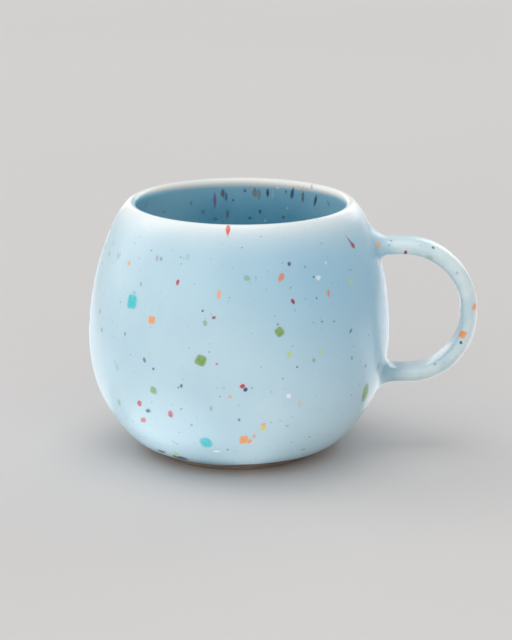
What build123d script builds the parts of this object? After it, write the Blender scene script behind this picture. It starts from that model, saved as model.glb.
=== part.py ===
"""Round-bellied stoneware mug with a strap handle.

Frame: origin on the vessel's axis in the plane it stands on, +Z up, the handle on +X.
Millimetres throughout.

The pieces are those of the pot as it is made:
  cup_body            fired clay vessel, one wall from base to lip
  foot_ring           bare clay ring that the mug stands on
  handle              clay strap, bent to a C and cut to the vessel's curve at both roots
  upper_slip_joint    collar of luting slip round the handle's upper root
  lower_slip_joint    collar of luting slip round the handle's lower root
  outer_glaze         glass coat on the outside of the vessel, up to the crest of the lip
  liner_glaze         glass coat on the inside of the vessel, up to the crest of the lip
  handle_glaze        glass coat round the handle and both collars
"""

import os
from math import cos, exp, radians, sin

from build123d import *

os.makedirs("parts", exist_ok=True)

# ---------------------------------------------------------------- driving dimensions
GLAZE = 0.4  # thickness of the fired glaze
LIP_R = 1.65  # radius of the rounded lip, over the glaze
LIP_CENTRE = (34.53, 78.40)  # centre of that radius
LIP_START = 42.0  # degrees; where the outside wall runs into the lip's radius
LIP_END = 204.0  # and where the lip's radius runs into the inside wall

# Outside of the glazed wall, from the glaze line at the foot to the lip: (radius, height)
OUTER = [
    (29.30, 2.55),
    (32.30, 3.95),
    (36.45, 7.65),
    (40.55, 13.04),
    (44.20, 19.96),
    (46.53, 27.65),
    (47.50, 36.11),
    (47.25, 44.57),
    (46.18, 53.03),
    (44.22, 61.49),
    (41.60, 69.18),
    (38.75, 75.45),
    (37.38, 77.57),
]
WALL_BELLY = 4.2  # wall over both coats, at the belly
WALL_SHOULDER = 3.7  # the same, under the lip
FLOOR_Z = 7.4  # top of the glazed floor, inside

FOOT_R = 26.0  # outside radius of the standing ring
FOOT_INNER_R = 21.0  # inside radius of the standing ring
FOOT_H = 1.7  # height of the standing ring
FOOT_EDGE = 0.45  # radius on the ring's lower edges

HANDLE_TOP_Z = 65.9  # centreline of the upper stretch
HANDLE_LOW_Z = 24.0  # centreline of the lower stretch
HANDLE_REACH = 72.45  # furthest point of the centreline from the vessel's axis
UPPER_BEND_R = 20.95  # centreline radius of the upper bend
LOWER_BEND_R = 19.0  # the lower bend is a little tighter
STRAP_T = 5.2  # strap thickness over the glaze, in the plane of the C
STRAP_W = 11.4  # strap width over the glaze, across it
STRAP_CORNER = 2.5  # corner radius over the glaze
UPPER_TILT = 19.0  # degrees; how far the wall faces up at the upper root
LOWER_TILT = -17.0  # and down at the lower root
COLLAR_STEPS = (4.5, 3.0, 1.5, 0.5, 0.0, -0.6, -1.2)  # section heights off the wall
COLLAR_SPREAD = 3.2  # how far the collar stands out round the strap, at the wall
COLLAR_FALL = 1.4  # how quickly it narrows away from the wall
COLLAR_SINK = 0.35  # its thin end runs into the strap


# ---------------------------------------------------------------- profile helpers
def polar(centre, r, angle):
    return (centre[0] + r * cos(radians(angle)), centre[1] + r * sin(radians(angle)))


def curve_through(points):
    """The smooth curve through the points, as a free edge."""
    return Spline(*points, mode=Mode.PRIVATE)


def shifted(curve, count, distance):
    """Points along the curve, moved to the left of its direction."""
    moved = []
    for i in range(count):
        p, t = curve @ (i / (count - 1)), curve % (i / (count - 1))
        d = distance(p.Y)
        moved.append((p.X - t.Y * d, p.Y + t.X * d))
    return moved


lip_out = polar(LIP_CENTRE, LIP_R, LIP_START)
outer_pts = [*OUTER, lip_out]
outer_curve = curve_through(outer_pts)

# inside of the glazed wall: the outside moved in by the wall, then a dished floor
inside = shifted(
    outer_curve,
    15,
    lambda z: WALL_BELLY + (WALL_SHOULDER - WALL_BELLY) * max(0.0, (z - 44) / 34),
)
lip_in = polar(LIP_CENTRE, LIP_R, LIP_END)
inner_pts = [
    lip_in,
    *[p for p in reversed(inside) if 15.0 < p[1] < 74.0],
    (33.6, 11.1),
    (26.5, 8.35),
    (16.0, 7.55),
    (0.0, FLOOR_Z),
]
inner_curve = curve_through(inner_pts)

# the clay's surface lies one coat under the glaze
clay_outer = shifted(outer_curve, 25, lambda z: GLAZE)
clay_inner = shifted(inner_curve, 31, lambda z: GLAZE)
clay_inner[-1] = (0.0, FLOOR_Z - GLAZE)
crest = polar(LIP_CENTRE, LIP_R, 90)
clay_crest = polar(LIP_CENTRE, LIP_R - GLAZE, 90)
clay_lip_mid = polar(LIP_CENTRE, LIP_R - GLAZE, (LIP_START + 90) / 2)
clay_lip_in_mid = polar(LIP_CENTRE, LIP_R - GLAZE, (90 + LIP_END) / 2)

# the vessel is turned from a section on the side away from the handle
TURNING_PLANE = Plane(origin=(0, 0, 0), x_dir=(-1, 0, 0), z_dir=(0, 1, 0))

# ---------------------------------------------------------------- vessel wall, bare clay
with BuildPart() as cup_body:
    with BuildSketch(TURNING_PLANE):
        with BuildLine():
            Line((0, FOOT_H), (FOOT_R, FOOT_H))
            Line((FOOT_R, FOOT_H), clay_outer[0])
            Spline(*clay_outer)
            ThreePointArc(clay_outer[-1], clay_lip_mid, clay_crest)
            ThreePointArc(clay_crest, clay_lip_in_mid, clay_inner[0])
            Spline(*clay_inner)
            Line(clay_inner[-1], (0, FOOT_H))
        make_face()
    revolve(axis=Axis.Z)

# ---------------------------------------------------------------- standing ring
with BuildPart() as foot_ring:
    with BuildSketch(Plane.XY):
        Circle(FOOT_R)
        Circle(FOOT_INNER_R, mode=Mode.SUBTRACT)
    extrude(amount=FOOT_H)
    fillet(foot_ring.faces().sort_by(Axis.Z)[0].edges(), radius=FOOT_EDGE)

# ---------------------------------------------------------------- whole vessel over its glaze, used to trim the handle
with BuildPart() as glazed_vessel:
    with BuildSketch(TURNING_PLANE):
        with BuildLine():
            Line((0, FOOT_H), (FOOT_R, FOOT_H))
            Line((FOOT_R, FOOT_H), clay_outer[0])
            Line(clay_outer[0], outer_pts[0])
            Spline(*outer_pts)
            ThreePointArc(lip_out, polar(LIP_CENTRE, LIP_R, (LIP_START + 90) / 2), crest)
            Line(crest, (0, crest[1]))
            Line((0, crest[1]), (0, FOOT_H))
        make_face()
    revolve(axis=Axis.Z)

with BuildPart() as clay_vessel:
    with BuildSketch(TURNING_PLANE):
        with BuildLine():
            Line((0, FOOT_H), (FOOT_R, FOOT_H))
            Line((FOOT_R, FOOT_H), clay_outer[0])
            Spline(*clay_outer)
            ThreePointArc(clay_outer[-1], clay_lip_mid, clay_crest)
            Line(clay_crest, (0, clay_crest[1]))
            Line((0, clay_crest[1]), (0, FOOT_H))
        make_face()
    revolve(axis=Axis.Z)

# ---------------------------------------------------------------- the C of the handle
ROOT_X = 38.0  # both ends start inside the wall and are trimmed to it
MID_Z = (HANDLE_TOP_Z + HANDLE_LOW_Z) / 2


def bend(centre, r, start_angle):
    """Quarter turn, clockwise, as three points for an arc."""
    return [polar(centre, r, start_angle - a) for a in (0, 45, 90)]


upper_bend = bend((HANDLE_REACH - UPPER_BEND_R, HANDLE_TOP_Z - UPPER_BEND_R), UPPER_BEND_R, 90)
lower_bend = bend((HANDLE_REACH - LOWER_BEND_R, HANDLE_LOW_Z + LOWER_BEND_R), LOWER_BEND_R, 0)


def strap(thickness, width, corner):
    """The strap along the C, as one solid."""
    with BuildPart() as bar:
        with BuildLine(Plane.XZ) as route:
            Line((ROOT_X, HANDLE_TOP_Z), upper_bend[0])
            ThreePointArc(*upper_bend)
            Line(upper_bend[2], lower_bend[0])
            ThreePointArc(*lower_bend)
            Line(lower_bend[2], (ROOT_X, HANDLE_LOW_Z))
        with BuildSketch(Plane.YZ.offset(ROOT_X)):
            with Locations((0, HANDLE_TOP_Z)):
                RectangleRounded(width, thickness, corner)
        sweep(path=route.wires()[0])
    return bar


clay_strap = strap(STRAP_T - 2 * GLAZE, STRAP_W - 2 * GLAZE, STRAP_CORNER - GLAZE)
glazed_strap = strap(STRAP_T, STRAP_W, STRAP_CORNER)


# ---------------------------------------------------------------- collars at the roots
def flare(root, tilt, inset):
    """Trumpet of slip round one root. Its sections lie parallel to the wall there."""
    c, s = cos(radians(tilt)), sin(radians(tilt))
    with BuildPart() as trumpet:
        for d in COLLAR_STEPS:
            grow = COLLAR_SPREAD * exp(-d / COLLAR_FALL) - COLLAR_SINK - inset
            centre = (root[0] + (d - inset) / c, 0, root[1])
            with BuildSketch(Plane(origin=centre, x_dir=(0, 1, 0), z_dir=(c, 0, s))):
                RectangleRounded(
                    STRAP_W + 2 * grow, STRAP_T / c + 2 * grow, STRAP_CORNER + grow
                )
        loft()
    return trumpet


def radius_at(height):
    """Radius of the glazed vessel's outside at a height."""
    low, high = 0.0, 1.0
    for _ in range(40):
        mid = (low + high) / 2
        low, high = (mid, high) if (outer_curve @ mid).Y < height else (low, mid)
    return (outer_curve @ low).X


upper_root = (radius_at(HANDLE_TOP_Z), HANDLE_TOP_Z)
lower_root = (radius_at(HANDLE_LOW_Z), HANDLE_LOW_Z)
clay_upper_flare = flare(upper_root, UPPER_TILT, GLAZE)
clay_lower_flare = flare(lower_root, LOWER_TILT, GLAZE)
glazed_upper_flare = flare(upper_root, UPPER_TILT, 0.0)
glazed_lower_flare = flare(lower_root, LOWER_TILT, 0.0)

# ---------------------------------------------------------------- handle, bare clay
with BuildPart() as handle:
    add(clay_strap.part)
    add(clay_vessel.part, mode=Mode.SUBTRACT)

# ---------------------------------------------------------------- slip collars, bare clay
with BuildPart() as upper_slip_joint:
    add(clay_upper_flare.part)
    add(clay_strap.part, mode=Mode.SUBTRACT)
    add(clay_vessel.part, mode=Mode.SUBTRACT)

with BuildPart() as lower_slip_joint:
    add(clay_lower_flare.part)
    add(clay_strap.part, mode=Mode.SUBTRACT)
    add(clay_vessel.part, mode=Mode.SUBTRACT)

# ---------------------------------------------------------------- glaze
with BuildPart() as outer_glaze:
    with BuildSketch(TURNING_PLANE):
        with BuildLine():
            Line(clay_outer[0], outer_pts[0])
            Spline(*outer_pts)
            ThreePointArc(lip_out, polar(LIP_CENTRE, LIP_R, (LIP_START + 90) / 2), crest)
            Line(crest, clay_crest)
            ThreePointArc(clay_outer[-1], clay_lip_mid, clay_crest)
            Spline(*clay_outer)
        make_face()
    revolve(axis=Axis.Z)
    add(clay_strap.part, mode=Mode.SUBTRACT)
    add(clay_upper_flare.part, mode=Mode.SUBTRACT)
    add(clay_lower_flare.part, mode=Mode.SUBTRACT)

with BuildPart() as liner_glaze:
    with BuildSketch(TURNING_PLANE):
        with BuildLine():
            Line(clay_crest, crest)
            ThreePointArc(crest, polar(LIP_CENTRE, LIP_R, (90 + LIP_END) / 2), lip_in)
            Spline(*inner_pts)
            Line(inner_pts[-1], clay_inner[-1])
            ThreePointArc(clay_crest, clay_lip_in_mid, clay_inner[0])
            Spline(*clay_inner)
        make_face()
    revolve(axis=Axis.Z)

with BuildPart() as handle_glaze:
    add(glazed_strap.part)
    add(glazed_upper_flare.part)
    add(glazed_lower_flare.part)
    add(clay_strap.part, mode=Mode.SUBTRACT)
    add(clay_upper_flare.part, mode=Mode.SUBTRACT)
    add(clay_lower_flare.part, mode=Mode.SUBTRACT)
    add(glazed_vessel.part, mode=Mode.SUBTRACT)

# ---------------------------------------------------------------- write
for name, piece in {
    "cup_body": cup_body,
    "foot_ring": foot_ring,
    "handle": handle,
    "upper_slip_joint": upper_slip_joint,
    "lower_slip_joint": lower_slip_joint,
    "outer_glaze": outer_glaze,
    "liner_glaze": liner_glaze,
    "handle_glaze": handle_glaze,
}.items():
    piece.part.label = name
    export_step(piece.part, f"parts/{name}.step")
    print(name, len(piece.part.solids()), round(piece.part.volume, 1), piece.part.bounding_box().size)
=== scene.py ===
"""Looks of the stoneware mug: glazed vessel, handle, standing ring and coloured flecks.

Lengths in the shape code are millimetres in the CAD's own frame and are scaled to metres when a mesh is made.
"""

import math
import random

import bpy
import numpy as np
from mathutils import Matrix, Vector


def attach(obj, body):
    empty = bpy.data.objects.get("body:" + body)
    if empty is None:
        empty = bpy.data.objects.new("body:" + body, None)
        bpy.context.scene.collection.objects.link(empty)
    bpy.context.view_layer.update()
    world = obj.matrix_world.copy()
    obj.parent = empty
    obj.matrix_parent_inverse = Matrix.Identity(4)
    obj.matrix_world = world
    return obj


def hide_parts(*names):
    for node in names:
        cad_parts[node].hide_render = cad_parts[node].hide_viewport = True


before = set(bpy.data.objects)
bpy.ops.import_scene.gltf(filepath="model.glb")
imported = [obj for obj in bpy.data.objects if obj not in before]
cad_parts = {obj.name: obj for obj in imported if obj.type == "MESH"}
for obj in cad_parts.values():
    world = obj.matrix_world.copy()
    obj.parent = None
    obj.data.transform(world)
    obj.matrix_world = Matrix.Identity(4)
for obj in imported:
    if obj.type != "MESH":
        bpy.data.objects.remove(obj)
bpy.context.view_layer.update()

MM = 0.001
GLAZE = 0.4

# ------------------------------------------------------------------ profiles, (radius, height)
LIP_C = np.array([34.53, 78.40])
LIP_R = 1.65
LIP_START, LIP_END = 42.0, 204.0
OUTER = [
    (29.30, 2.55), (32.30, 3.95), (36.45, 7.65), (40.55, 13.04), (44.20, 19.96), (46.53, 27.65),
    (47.50, 36.11), (47.25, 44.57), (46.18, 53.03), (44.22, 61.49), (41.60, 69.18), (38.75, 75.45),
    (37.38, 77.57), (35.756, 79.504),
]
INNER = [
    (33.02, 77.73), (35.95, 72.76), (38.13, 67.52), (39.99, 61.92), (41.44, 56.28), (42.44, 50.54),
    (43.04, 44.71), (43.33, 38.90), (43.11, 33.22), (42.24, 27.69), (40.65, 22.41), (38.30, 17.43),
    (33.60, 11.10), (26.50, 8.35), (16.00, 7.55), (0.0, 7.40),
]
FOOT_R, FOOT_INNER_R, FOOT_H = 26.0, 21.0, 1.7


def spline(points, count):
    """Natural cubic spline through the points, as evenly spaced points."""
    p = np.array(points, float)
    t = np.r_[0, np.cumsum(np.hypot(*np.diff(p, axis=0).T))]
    n, h = len(t), np.diff(t)
    a = np.eye(n)
    b = np.zeros((n, 2))
    for i in range(1, n - 1):
        a[i, i - 1], a[i, i], a[i, i + 1] = h[i - 1], 2 * (h[i - 1] + h[i]), h[i]
        b[i] = 6 * ((p[i + 1] - p[i]) / h[i] - (p[i] - p[i - 1]) / h[i - 1])
    m = np.linalg.solve(a, b)
    fine = np.linspace(0, t[-1], 3001)
    k = np.clip(np.searchsorted(t, fine, side="right") - 1, 0, n - 2)
    u, v, hk = (t[k + 1] - fine)[:, None], (fine - t[k])[:, None], h[k][:, None]
    q = (
        m[k] * u**3 / (6 * hk)
        + m[k + 1] * v**3 / (6 * hk)
        + (p[k] / hk - m[k] * hk / 6) * u
        + (p[k + 1] / hk - m[k + 1] * hk / 6) * v
    )
    return even(q, count)


def even(q, count):
    """The polyline q resampled at even steps."""
    s = np.r_[0, np.cumsum(np.hypot(*np.diff(q, axis=0).T))]
    w = np.linspace(0, s[-1], count)
    return np.c_[np.interp(w, s, q[:, 0]), np.interp(w, s, q[:, 1])]


def arc(a0, a1, count, r=LIP_R):
    a = np.radians(np.linspace(a0, a1, count))
    return LIP_C + r * np.c_[np.cos(a), np.sin(a)]


def inset(q, d):
    """The polyline q moved to the left of its direction by d."""
    t = np.gradient(q, axis=0)
    t /= np.hypot(*t.T)[:, None]
    return q + d * np.c_[-t[:, 1], t[:, 0]]


WALL_OUT = spline(OUTER, 96)
LIP_OUT = arc(LIP_START, 90, 12)
LIP_IN = arc(90, LIP_END, 20)
WALL_IN = spline(INNER, 110)


def blended(parts, joint, marks):
    """The parts as one path, eased where they meet, with a point at each mark along its length."""
    q = even(np.vstack(parts), 1000)
    s = np.r_[0, np.cumsum(np.hypot(*np.diff(q, axis=0).T))]
    weight = np.exp(-(((s - joint) / 1.8) ** 2))[1:-1, None]
    for _ in range(90):
        q[1:-1] += 0.5 * weight * (0.5 * (q[:-2] + q[2:]) - q[1:-1])
    s = np.r_[0, np.cumsum(np.hypot(*np.diff(q, axis=0).T))]
    marks = marks(s[-1])
    return np.c_[np.interp(marks, s, q[:, 0]), np.interp(marks, s, q[:, 1])]


def length(q):
    return float(np.hypot(*np.diff(q, axis=0).T).sum())


OUT_PATH = blended(
    [WALL_OUT, LIP_OUT[1:]],
    length(WALL_OUT),
    lambda full: np.r_[np.arange(0, full - 8, 0.95), np.linspace(full - 8, full, 34)],
)
IN_PATH = blended(
    [LIP_IN, WALL_IN[1:]],
    length(LIP_IN),
    lambda full: np.r_[np.linspace(0, 9, 40), np.linspace(9.9, full, 100)],
)
OUT_S = np.r_[0, np.cumsum(np.hypot(*np.diff(OUT_PATH, axis=0).T))]
IN_S = np.r_[0, np.cumsum(np.hypot(*np.diff(IN_PATH, axis=0).T))]


def out_radius(z):
    return np.interp(z, OUT_PATH[:, 1], OUT_PATH[:, 0])


# ------------------------------------------------------------------ hand-made irregularity
LEAN = 0.0150  # sideways shift of the vessel per unit of height above its middle


def warp(v):
    """The whole pot leans by under a degree, and its wall is not quite round."""
    v = np.array(v, float)
    x, y, z = v.T
    phi = np.arctan2(x, -y)
    r = np.hypot(x, y)
    amount = np.clip((r - 20) / 15, 0, 1)
    wob = (
        0.05 * np.sin(2 * phi + 0.6 + z / 37)
        + 0.035 * np.sin(3 * phi + 2.1 - z / 29)
        + 0.02 * np.sin(5 * phi + z / 11)
    ) - 0.09
    k = 1 + np.where(r > 1e-6, wob * amount / np.maximum(r, 1e-6), 0) * np.clip(
        (60 - r) / 10, 0, 1
    )
    lean = LEAN * (z - 40) * np.clip((62 - x) / 14, 0, 1)
    z = z - 0.036 * np.clip((z - 60) / 18, 0, 1) * np.clip((60 - r) / 10, 0, 1)
    return np.c_[x * k + lean, y * k, z]


# ------------------------------------------------------------------ mesh helpers
COLLECTION = bpy.context.scene.collection


def make(name, verts, faces, replaces=(), smooth=True, attributes=None, warped=True):
    v = (warp(verts) if warped else np.array(verts, float)) * MM
    mesh = bpy.data.meshes.new(name)
    mesh.from_pydata(v.tolist(), [], [list(map(int, f)) for f in faces])
    for key, values in (attributes or {}).items():
        values = np.array(values, np.float32)
        if values.ndim == 1:
            mesh.attributes.new(key, "FLOAT", "POINT").data.foreach_set("value", values)
        else:
            mesh.attributes.new(key, "FLOAT_COLOR", "POINT").data.foreach_set(
                "color", values.ravel()
            )
    mesh.polygons.foreach_set("use_smooth", [smooth] * len(mesh.polygons))
    mesh.validate()
    mesh.update()
    obj = bpy.data.objects.new(name, mesh)
    COLLECTION.objects.link(obj)
    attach(obj, "root")
    if replaces:
        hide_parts(*replaces)
    return obj


def outward(obj):
    """Faces turned to look out of the closed solid."""
    import bmesh

    bm = bmesh.new()
    bm.from_mesh(obj.data)
    bmesh.ops.recalc_face_normals(bm, faces=bm.faces)
    bm.to_mesh(obj.data)
    bm.free()


def sharp_edges(obj, angle):
    """Edges that turn by more than the angle stay crisp."""
    import bmesh

    bm = bmesh.new()
    bm.from_mesh(obj.data)
    for e in bm.edges:
        if len(e.link_faces) == 2 and e.calc_face_angle(0) > math.radians(angle):
            e.smooth = False
    bm.to_mesh(obj.data)
    bm.free()


def ring_grid(rings, closed_rings, poles=(False, False)):
    """Faces between rows of points that each go round once. A pole is one point in place of a row."""
    verts, starts, counts = [], [], []
    for row in rings:
        starts.append(len(verts))
        counts.append(len(row))
        verts.extend(row)
    faces = []
    total = len(rings)
    for i in range(total if closed_rings else total - 1):
        a, b = i, (i + 1) % total
        na, nb = counts[a], counts[b]
        n = max(na, nb)
        for j in range(n):
            k = (j + 1) % n
            if na == 1:
                faces.append((starts[a], starts[b] + k, starts[b] + j))
            elif nb == 1:
                faces.append((starts[a] + j, starts[a] + k, starts[b]))
            else:
                faces.append((starts[a] + j, starts[a] + k, starts[b] + k, starts[b] + j))
    return verts, faces


SEGS = 240
PHI = np.linspace(0, 2 * math.pi, SEGS, endpoint=False)


def turned(profile, shape=None):
    """Rows of points round the axis, one row to a profile point. shape(i, phi, r, z) may bend a row."""
    rings = []
    for i, (r, z) in enumerate(profile):
        if r < 1e-4:
            rings.append([(0.0, 0.0, z)])
            continue
        rr, zz = np.full(SEGS, r), np.full(SEGS, z)
        if shape:
            rr, zz = shape(i, PHI, rr, zz)
        rings.append(list(zip(rr * np.sin(PHI), -rr * np.cos(PHI), zz)))
    return rings


# ------------------------------------------------------------------ vessel
def glaze_line(phi):
    """Height at which the outside glaze stops. It was wiped by hand, so it wanders."""
    p = (phi + math.pi) % (2 * math.pi) - math.pi  # 0 at the front, + towards the handle
    return (
        3.42
        + 0.60 * np.tanh((p + 0.10) / 0.14) * np.clip(1.9 - np.abs(p), 0, 1)
        + 0.10 * np.sin(5 * p + 0.4)
        + 0.06 * np.sin(13 * p + 1.3)
        + 0.03 * np.sin(31 * p)
    )


def follow_line(depth):
    """Rows near the foot slide along the wall so that the first one lies on the glaze line."""

    def shape(i, phi, r, z):
        z0 = float(z[0])
        if z0 > 8.0:
            return r, z
        low, top = 2.55, 8.0
        t = np.clip((z0 - low) / (top - low), 0, 1)
        zz = glaze_line(phi) + (top - glaze_line(phi)) * t
        rr = np.interp(zz, DEEP[depth][:, 1], DEEP[depth][:, 0])
        return rr, zz

    return shape


foot_tail = np.array([(26.9, 1.62), (28.1, 2.05)])
LONG_OUT = np.vstack([foot_tail, WALL_OUT])
DEEP = {0.0: LONG_OUT[:60], GLAZE: inset(LONG_OUT, GLAZE)[:60]}

outer_rows = turned(OUT_PATH, follow_line(0.0))
clay_under = np.vstack([inset(WALL_OUT, GLAZE), arc(LIP_START, 90, 12, LIP_R - GLAZE)[1:]])
under_rows = turned(clay_under[::3].tolist() + [clay_under[-1].tolist()], follow_line(GLAZE))

# a rounded bead where the coat ends
first, last = np.array(outer_rows[0]), np.array(under_rows[0])
bead = []
for t in (0.25, 0.5, 0.75):
    row = first * (1 - t) + last * t
    row[:, 2] -= 0.16 * math.sin(math.pi * t)
    row[:, :2] *= 1 + 0.0018 * math.sin(math.pi * t)
    bead.append([tuple(p) for p in row])
loop = outer_rows + under_rows[::-1] + bead[::-1]
verts, faces = ring_grid(loop, True)

z_all = np.array(verts)[:, 2]
r_all = np.hypot(np.array(verts)[:, 0], np.array(verts)[:, 1])


def lip_share(v, inside=False):
    """1 on the crest of the lip, where the glaze has run thin, to 0 down the wall. The white reaches furthest in at
    the back, and is cut short at the left tip as painted shade.
    """
    v = np.array(v, float)
    x, y, z = v.T
    r = np.hypot(x, y)
    drop = np.maximum(0, 80.05 - z)
    outside = 0.92 * np.exp(-((drop / 4.2) ** 1.15))
    turn = np.degrees(np.arctan2(z - LIP_C[1], r - LIP_C[0])) % 360
    along = np.where(z > 77.73, np.radians(np.clip(turn - 90, 0, 180)) * LIP_R, 3.28 + (77.73 - z) * 1.16)
    back = np.clip(0.5 + 0.62 * y / np.maximum(r, 1), 0, 1)
    left = np.clip(-x / np.maximum(r, 1), 0, 1)
    # painted shade: the white stops short at the left tip of the lip, where its edge turns down into shade
    reach = -0.15 + 3.6 * back**1.1 - 1.30 * left**1.5
    wide = 0.40 + 0.55 * back
    t = np.clip((along - (reach - wide)) / (2 * wide), 0, 1)
    inner = 0.92 * (1 - t * t * (3 - 2 * t))
    return inner if inside else np.where(r > LIP_C[0], outside, inner)


def inner_share(v):
    """0 on the crest of the lip to 1 where the inside coat has its full depth of colour."""
    v = np.array(v, float)
    r = np.hypot(v[:, 0], v[:, 1])
    turn = np.degrees(np.arctan2(v[:, 2] - LIP_C[1], r - LIP_C[0])) % 360
    near = (v[:, 2] > 77.73) & (r < 36)
    return np.where(near, np.clip((turn - 90) / 16, 0, 1), 1.0)


def pool_shade_share(v):
    """1 at the glaze line, where the run glaze is thick and painted shade falls near the table, to 0 higher up."""
    v = np.array(v, float)
    return np.clip(1 - (v[:, 2] - 2.4) / 5.5, 0, 1) ** 2


glaze_outer = make(
    "glaze_outer",
    verts,
    faces,
    replaces=("outer_glaze",),
    attributes={
        "lip": lip_share(verts),
        "pool_and_shade": pool_shade_share(verts),
        "strap": np.zeros(len(verts)),
        "inside": np.zeros(len(verts)),
    },
)
outward(glaze_outer)

# inside coat, from the middle of the floor up and over to the crest, and back under itself
clay_in = np.vstack([arc(90, LIP_END, 20, LIP_R - GLAZE), inset(WALL_IN, GLAZE)[1:]])
clay_in[-1] = (0.0, 7.0)
liner_rows = turned(IN_PATH[::-1])
liner_under = turned(clay_in[::3].tolist() + [[0.0, 7.0]])
verts, faces = ring_grid(liner_rows + liner_under, False)
glaze_liner = make(
    "glaze_liner",
    verts,
    faces,
    replaces=("liner_glaze",),
    attributes={
        "lip": lip_share(verts, True),
        "pool_and_shade": np.zeros(len(verts)),
        "strap": np.zeros(len(verts)),
        "inside": inner_share(verts),
    },
)
outward(glaze_liner)

# clay wall under both coats, with the bare band between the glaze line and the ring
clay_out = inset(WALL_OUT, GLAZE + 0.01)
skirt = np.array([(26.0, 1.7), (27.0, 2.02), (28.0, 2.42)])
clay_profile = np.vstack(
    [
        [(0.0, 1.7), (12.0, 1.7), (20.9, 1.7), (23.0, 1.71)],
        skirt,
        clay_out[::2],
        arc(LIP_START, LIP_END, 24, LIP_R - GLAZE - 0.01),
        inset(WALL_IN, GLAZE + 0.01)[4:-1:3],
        [(0.0, 6.99)],
    ]
)
clay_profile = clay_profile[clay_profile[:, 0] >= 0]
verts, faces = ring_grid(turned(clay_profile), False)
stoneware_body = make(
    "stoneware_body", verts, faces, replaces=("cup_body",)
)
outward(stoneware_body)

# standing ring: turned on the wheel, edges eased with a sponge
ring_profile = np.array(
    [
        (21.0, 1.695), (21.0, 0.9), (21.08, 0.35), (21.35, 0.10), (21.8, 0.02), (22.6, 0.0),
        (23.5, 0.03), (24.4, 0.0), (25.1, 0.02), (25.6, 0.12), (25.88, 0.35), (25.98, 0.7),
        (25.9, 0.95), (25.99, 1.2), (26.0, 1.695),
    ]
)


def ring_shape(i, phi, r, z):
    if float(z[0]) > 1.6:
        return r, z
    chatter = 0.03 * np.sin(3 * phi + i) + 0.015 * np.sin(17 * phi + 2 * i)
    return r + chatter * (0.6 if r[0] > 23.5 else -0.4), z


verts, faces = ring_grid(turned(ring_profile, ring_shape), True)
standing_ring = make(
    "standing_ring", verts, faces, replaces=("foot_ring",)
)
outward(standing_ring)
sharp_edges(standing_ring, 50)

# ------------------------------------------------------------------ handle
TOP_Z, LOW_Z, REACH = 65.9, 24.0, 72.45
R_UP, R_LOW = 20.95, 19.0
ROUND = 52  # points round the strap


def handle_path():
    """Centreline of the C from the upper wall to the lower one, with its directions."""
    pts = []
    pts += [(x, TOP_Z) for x in np.linspace(40.0, REACH - R_UP, 24)]
    c = (REACH - R_UP, TOP_Z - R_UP)
    pts += [
        (c[0] + R_UP * math.sin(a), c[1] + R_UP * math.cos(a))
        for a in np.linspace(0, math.pi / 2, 60)[1:]
    ]
    c = (REACH - R_LOW, LOW_Z + R_LOW)
    pts += [
        (c[0] + R_LOW * math.cos(a), c[1] - R_LOW * math.sin(a))
        for a in np.linspace(0, math.pi / 2, 60)
    ]
    pts += [(x, LOW_Z) for x in np.linspace(REACH - R_LOW, 40.0, 24)[1:]]
    p = even(np.array(pts), 260)
    for _ in range(12):  # a bent strap has no sudden change of curvature
        p[1:-1] = 0.5 * p[1:-1] + 0.25 * (p[:-2] + p[2:])
    return p


PATH = handle_path()
PATH_T = np.gradient(PATH, axis=0)
PATH_T /= np.hypot(*PATH_T.T)[:, None]
PATH_S = np.r_[0, np.cumsum(np.hypot(*np.diff(PATH, axis=0).T))]


HALF_SECTION = [  # (away from the C's middle, across the strap): domed outside, a turned edge, flat inside
    (2.60, 0.0), (2.57, 1.3), (2.42, 2.5), (1.98, 3.55), (1.30, 4.55), (0.52, 5.26), (0.12, 5.44),
    (-0.35, 5.50), (-1.1, 5.46), (-1.80, 5.15), (-2.34, 4.4), (-2.52, 2.6), (-2.56, 0.0),
]


def strap_section():
    """The strap's section as offsets, with the direction that each point faces."""
    half = np.array(HALF_SECTION)
    loop = np.vstack([half, (half * [1, -1])[-2:0:-1]])
    n = len(loop)
    fine = []
    for i in range(n):
        p0, p1, p2, p3 = (loop[(i + k) % n] for k in (-1, 0, 1, 2))
        for t in np.linspace(0, 1, 12, endpoint=False):
            fine.append(
                0.5 * (2 * p1 + (p2 - p0) * t + (2 * p0 - 5 * p1 + 4 * p2 - p3) * t * t + (3 * p1 - p0 - 3 * p2 + p3) * t**3)
            )
    fine = even(np.vstack([fine, fine[:1]]), ROUND + 1)[:-1]
    t = np.roll(fine, -1, 0) - np.roll(fine, 1, 0)
    t /= np.hypot(*t.T)[:, None]
    return fine, np.c_[t[:, 1], -t[:, 0]]


SECTION, FACING = strap_section()


def strap_row(i, cut):
    """One row of points round the strap at path point i. cut is how far under the glaze it lies."""
    p, t = PATH[i], PATH_T[i]
    n = np.array([-t[1], t[0]])  # outward from the C
    s = PATH_S[i] / PATH_S[-1]
    thick = 1 + 0.05 * math.exp(-(((s - 0.75) / 0.09) ** 2))
    wide = 1 - 0.03 * math.sin(math.pi * s) ** 2
    offset = SECTION * [thick, wide] - FACING * cut
    a, w = offset.T
    return np.c_[p[0] + n[0] * a, w, p[1] + n[1] * a], n, offset


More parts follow.
